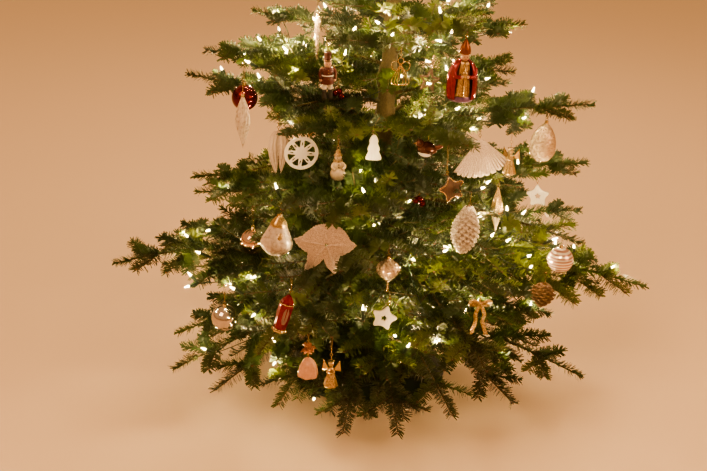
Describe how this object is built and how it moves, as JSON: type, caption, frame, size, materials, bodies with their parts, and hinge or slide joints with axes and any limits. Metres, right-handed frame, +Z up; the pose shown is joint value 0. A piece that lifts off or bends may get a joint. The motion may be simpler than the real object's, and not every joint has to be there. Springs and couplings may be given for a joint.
{
  "type": "christmas tree",
  "caption": "Cut fir set up as a Christmas tree: leaning tapered trunk, whorls of boughs in flat needled fans, and a round stand with clamp screws.",
  "frame": {"origin": "middle of the stand's flat underside, on the floor under the foot of the trunk", "axes": "+Z up along the trunk, +X to the right as seen from the front, -Y towards the viewer"},
  "size_m": [1.2848, 1.0049, 1.7],
  "materials": {
    "bark": "smooth young grey-olive bark with shallow wrinkles, matte",
    "needles": "dark green waxy needles with a low sheen and pale undersides",
    "stand": "dark green moulded plastic, satin",
    "clamp_screws": "zinc-plated steel",
    "bauble": "silvered and lacquered thin glass, some of it frosted or glittered",
    "ornament_wood": "sawn and whitewashed wood, matte",
    "ornament_paint": "hand-painted lacquer, satin",
    "ornament_metal": "thin polished gilt metal",
    "light_wire": "dark green cable and sockets, satin",
    "light_bulb": "clear pointed bulb, lit warm white"
  },
  "bodies": {
    "root": {"bough_1_1": "bark", "bough_1_2": "bark", "bough_1_3": "bark", "bough_1_4": "bark", "bough_1_5": "bark", "bough_2_1": "bark", "bough_2_2": "bark", "bough_2_3": "bark", "bough_2_4": "bark", "bough_2_5": "bark", "bough_2_6": "bark", "bough_3_1": "bark", "bough_3_2": "bark", "bough_3_3": "bark", "bough_3_4": "bark", "bough_3_5": "bark", "clamp_screw_1": "clamp_screws", "clamp_screw_2": "clamp_screws", "clamp_screw_3": "clamp_screws", "foliage_1_1": "needles", "foliage_1_2": "needles", "foliage_1_3": "needles", "foliage_1_4": "needles", "foliage_1_5": "needles", "foliage_2_1": "needles", "foliage_2_2": "needles", "foliage_2_3": "needles", "foliage_2_4": "needles", "foliage_2_5": "needles", "foliage_2_6": "needles", "foliage_3_1": "needles", "foliage_3_2": "needles", "foliage_3_3": "needles", "foliage_3_4": "needles", "foliage_3_5": "needles", "foliage_4_1": "needles", "foliage_4_2": "needles", "foliage_4_3": "needles", "foliage_4_4": "needles", "foliage_5_1": "needles", "foliage_5_2": "needles", "foliage_5_3": "needles", "foliage_5_4": "needles", "foliage_5_5": "needles", "foliage_5_6": "needles", "foliage_6_1": "needles", "foliage_6_2": "needles", "foliage_6_3": "needles", "foliage_7_1": "needles", "foliage_7_2": "needles", "foliage_7_3": "needles", "foliage_7_4": "needles", "foliage_7_5": "needles", "foliage_8_1": "needles", "foliage_8_2": "needles", "foliage_8_3": "needles", "foliage_8_4": "needles", "foliage_top": "needles", "stand_base": "stand", "trunk": "bark"}
  },
  "joints": []
}
